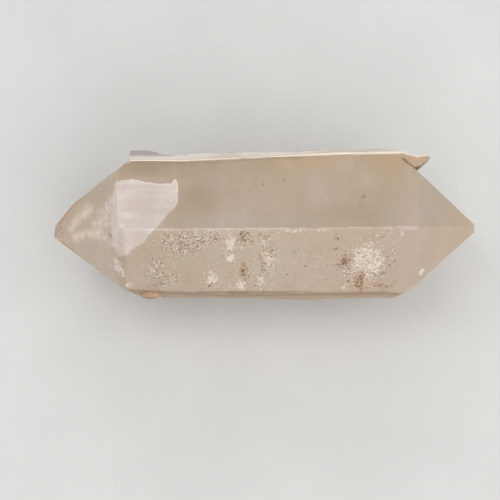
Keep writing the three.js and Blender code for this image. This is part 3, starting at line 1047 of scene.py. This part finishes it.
def frost_layers(shader, noise):
    """White crusts, white specks that are partly painted glints, and brown specks in the pits that are
    partly painted pit shadow. Gives where it is white.
    """
    frost = shader.mask("frost")
    pitted = shader.mask("pitted")
    shader.over(shader.ramp(frost, 0.15, 0.8), 0.35, FROST_BASE)
    crust = scattered(shader, noise.patchy, frost, 0.44)
    shader.over(crust, 0.55, FROST_BASE)
    # White specks: white crust grains, and partly painted glints.
    white = scattered(shader, noise.salt, shader.larger(frost, shader.times(pitted, 0.7)), 0.52)
    shader.over(white, 0.55, FROST_WHITE)
    less_in_frost = shader.ramp(frost, 0.2, 1.0, 1.0, 0.6)
    # Brown specks in the pits: brown grains, and partly painted shadow in the small pits.
    brown = scattered(shader, noise.pepper, shader.times(pitted, less_in_frost), 0.535)
    shader.over(brown, 0.7, PIT_BROWN)
    return shader.larger(crust, white)


def stain_layers(shader, noise):
    """Rust, and the brown groove and crevice. Gives where it is brown."""
    stain = shader.mask("stain")
    groove = shader.mask("groove")
    wash = scattered(shader, noise.patchy, stain, 0.44)
    shader.over(wash, 0.55, RUST)
    shader.over(scattered(shader, noise.pepper, stain, 0.5), 0.7, RUST_DARK)
    shader.over(groove, 0.9, CREVICE_BROWN)
    return shader.larger(wash, shader.larger(shader.mask("lump"), groove))


def quartz_material():
    """Milky quartz: cloudy and warm, glassy on clean faces and dull where frosted or stained."""
    shader = Shader("milky_quartz")
    noise = quartz_noises(shader)
    body_layers(shader, noise)
    veil = veil_layers(shader, noise)
    ledge_layers(shader, noise)
    edge_highlight_layer(shader, noise)
    white = frost_layers(shader, noise)
    brown = stain_layers(shader, noise)

    dull = shader.larger(white, brown)
    roughness = shader.ramp(shader.plus(dull, shader.times(noise.cloud, 0.3)), 0.1, 1.2, 0.18, 0.55)
    clear = shader.ramp(shader.plus(dull, veil), 0.0, 0.9, 0.3, 0.06)
    rough_places = shader.larger(shader.mask("pitted"), shader.mask("frost"))
    grainy = shader.bump(shader.times(noise.speckle, rough_places), 0.7, 0.0003)
    shader.set(Base_Color=shader.colour, Roughness=roughness, Transmission_Weight=clear, IOR=QUARTZ_IOR)
    shader.set(Normal=shader.bump(noise.ripple, 0.12, 0.0004, grainy))
    shader.set(Subsurface_Weight=0.25, Subsurface_Radius=(1.0, 0.8, 0.6), Subsurface_Scale=LIGHT_SPREAD)
    return shader.material


# Pieces

def crystal():
    """The one crystal: the solid's form with a finer surface."""
    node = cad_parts["quartz_crystal"]
    edges = sharp_edges(node)
    mesh = fine_mesh(node)
    mend(mesh)
    soften_front(mesh)
    refine(mesh, lambda middles: near_front(middles) | near_ledge(middles) | near_seen_edge(middles, edges))
    skin = Skin(mesh, edges)
    weather(skin)
    for paint in PAINTERS:
        paint(skin)
    mesh.shade_smooth()
    mesh.set_sharp_from_angle(angle=SHARP_ANGLE)
    mesh.name = "quartz"
    piece = link("quartz", mesh)
    mesh.materials.append(quartz_material())
    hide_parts("quartz_crystal")
    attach(piece, "root")
    return piece


def grain_places(patches, spots_list, count, random):
    """Random places, in millimetres from the axis, gathered in patches and spots."""
    weights = [strength * length * height for _, _, length, height, strength in patches]
    weights += [strength * size * size for _, size, strength in spots_list]
    shares = np.array(weights) / sum(weights)
    places = []
    for chosen in random.choice(len(shares), size=count, p=shares):
        offset = random.normal(size=3) * GRAIN_SPREAD
        if chosen < len(patches):
            middle, drop, length, height, _ = patches[chosen]
            place = front_point(middle + offset[0] * length, drop + offset[1] * height)
        else:
            place, size, _ = spots_list[chosen - len(patches)]
            place = np.array(place) + offset * size
        places.append(place)
    return places


def mark_places(front_marks, top_marks, point_marks, random):
    """Places of a few grains at each single mark."""
    middles = [front_point(along, down) for along, down in front_marks]
    middles += [np.array([along, across, TOP_OUT]) for along, across in top_marks]
    middles += [np.array(place) for place in point_marks]
    return [middle + random.normal(size=3) * MARK_SPREAD for middle in middles for _ in range(MARK_GRAINS)]


def random_turn(normal, random):
    """A random tumble, then a random turn about the surface's normal."""
    about_normal = Matrix.Rotation(random.random() * math.tau, 3, normal)
    angle = random.random() * math.tau
    return about_normal @ Matrix.Rotation(angle, 3, Vector(random.normal(size=3)).normalized())


def grains(name, ground, places, sizes, material, random):
    """Many small angular grains, each half sunk in the ground, joined in one mesh."""
    smallest, largest = sizes
    tips = np.array([(1, 0, 0), (-1, 0, 0), (0, 1, 0), (0, -1, 0), (0, 0, 1), (0, 0, -1)], float)
    sides = [(0, 2, 4), (2, 1, 4), (1, 3, 4), (3, 0, 4), (2, 0, 5), (1, 2, 5), (3, 1, 5), (0, 3, 5)]
    points, faces = [], []
    for place in places:
        spot, normal, _, _ = ground.find_nearest(Vector(to_frame(place)))
        size = smallest + (largest - smallest) * random.random() ** 2
        shape = tips * (size * (0.7 + 0.6 * random.random((len(tips), 1))))
        turn = random_turn(normal, random)
        middle = from_axis(np.array(spot)) - np.array(normal) * size * GRAIN_SUNK
        start = len(points)
        points += [Vector(to_frame(middle + np.array(turn @ Vector(tip)))) for tip in shape]
        faces += [tuple(start + i for i in side) for side in sides]
    mesh = bpy.data.meshes.new(name)
    mesh.from_pydata(inside_box(np.array(points)).tolist(), [], faces)
    mesh.materials.append(material)
    piece = link(name, mesh)
    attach(piece, "root")


def grain_material(name, light, dark, roughness):
    """Opaque grains that vary between two colours, the darker ones duller."""
    shader = Shader(name)
    varied = shader.ramp(shader.noise(1500.0, 2.0), 0.35, 0.65)
    shader.set(Base_Color=shader.mix(varied, light, dark))
    shader.set(Normal=shader.bump(shader.noise(6000.0), 0.3, 0.0001))
    shader.set(Roughness=shader.ramp(varied, 0.0, 1.0, roughness, roughness + 0.15))
    return shader.material


def all_grains(body):
    """The white, rusty and dark grains on the crystal."""
    ground = BVHTree.FromObject(body, bpy.context.evaluated_depsgraph_get())
    random = np.random.default_rng(RANDOM_SEED)
    white = grain_places(FROST_PATCHES, FROST_SPOTS, WHITE_GRAINS, random)
    white += mark_places(PALE_MARKS, TOP_PALE_MARKS, POINT_PALE_MARKS, random)
    material = grain_material("frost_grains", FROST_WHITE, FROST_BASE, 0.3)
    grains("frost_grains", ground, white, WHITE_GRAIN_SIZE, material, random)
    rusty = grain_places(STAIN_PATCHES, STAIN_SPOTS, BROWN_GRAINS, random)
    material = grain_material("iron_grains", RUST, RUST_DARK, 0.6)
    grains("iron_grains", ground, rusty, BROWN_GRAIN_SIZE, material, random)
    dark = mark_places(DARK_MARKS, TOP_DARK_MARKS, POINT_DARK_MARKS, random)
    material = grain_material("dark_grains", PIT_BROWN, MARK_BROWN, 0.6)
    grains("dark_grains", ground, dark, MARK_GRAIN_SIZE, material, random)


# Stage

def floor():
    """A plain pale floor. It isn't part of the crystal."""
    half = FLOOR_HALF_WIDTH
    mesh = bpy.data.meshes.new("floor")
    corner_places = [(-half, -half, 0), (half, -half, 0), (half, half, 0), (-half, half, 0)]
    mesh.from_pydata(corner_places, [], [(0, 1, 2, 3)])
    piece = link("floor", mesh)
    shader = Shader("floor")
    grey = shader.mix(shader.ramp(shader.noise(40.0), 0.3, 0.7), FLOOR_DARK, FLOOR_LIGHT)
    shader.set(Base_Color=grey, Roughness=0.8)
    mesh.materials.append(shader.material)


def soft_light(name, place, size, power, mirrored):
    """A square lamp that faces the crystal."""
    data = bpy.data.lights.new(name, "AREA")
    data.shape = "SQUARE"
    data.size = size
    data.energy = power
    lamp = bpy.data.objects.new(name, data)
    lamp.location = place
    lamp.rotation_mode = "QUATERNION"
    lamp.rotation_quaternion = (Vector(place) - Vector(LAMPS_FACE)).to_track_quat("Z", "Y")
    lamp.visible_glossy = mirrored
    bpy.context.scene.collection.objects.link(lamp)


def lights():
    """The lamps in an evenly lit white room."""
    for lamp in LAMPS:
        soft_light(*lamp)
    world = bpy.data.worlds.new("soft_room")
    world.use_nodes = True
    background = world.node_tree.nodes["Background"]
    background.inputs["Color"].default_value = (1, 1, 1, 1)
    background.inputs["Strength"].default_value = ROOM_LIGHT
    bpy.context.scene.world = world


def camera():
    """The camera of the picture, fitted to the crystal's edges."""
    azimuth = math.radians(CAMERA_AZIMUTH)
    elevation = math.radians(CAMERA_ELEVATION)
    back = Vector((math.sin(azimuth) * math.cos(elevation), -math.cos(azimuth) * math.cos(elevation),
                   math.sin(elevation)))
    data = bpy.data.cameras.new("camera")
    data.sensor_width = SENSOR_WIDTH
    data.lens = SENSOR_WIDTH * CAMERA_DISTANCE / CAMERA_VIEW_WIDTH
    data.clip_start = NEAREST_SEEN
    data.clip_end = FURTHEST_SEEN
    eye = bpy.data.objects.new("camera", data)
    eye.rotation_mode = "QUATERNION"
    level = back.to_track_quat("Z", "Y")
    roll = Matrix.Rotation(math.radians(CAMERA_ROLL), 4, back).to_quaternion()
    eye.rotation_quaternion = roll @ level
    eye.location = Vector(to_frame(CAMERA_TARGET + np.array(back) * CAMERA_DISTANCE))
    bpy.context.scene.collection.objects.link(eye)
    bpy.context.scene.camera = eye


camera()
lights()
floor()
all_grains(crystal())
bpy.context.scene.view_settings.view_transform = "Standard"
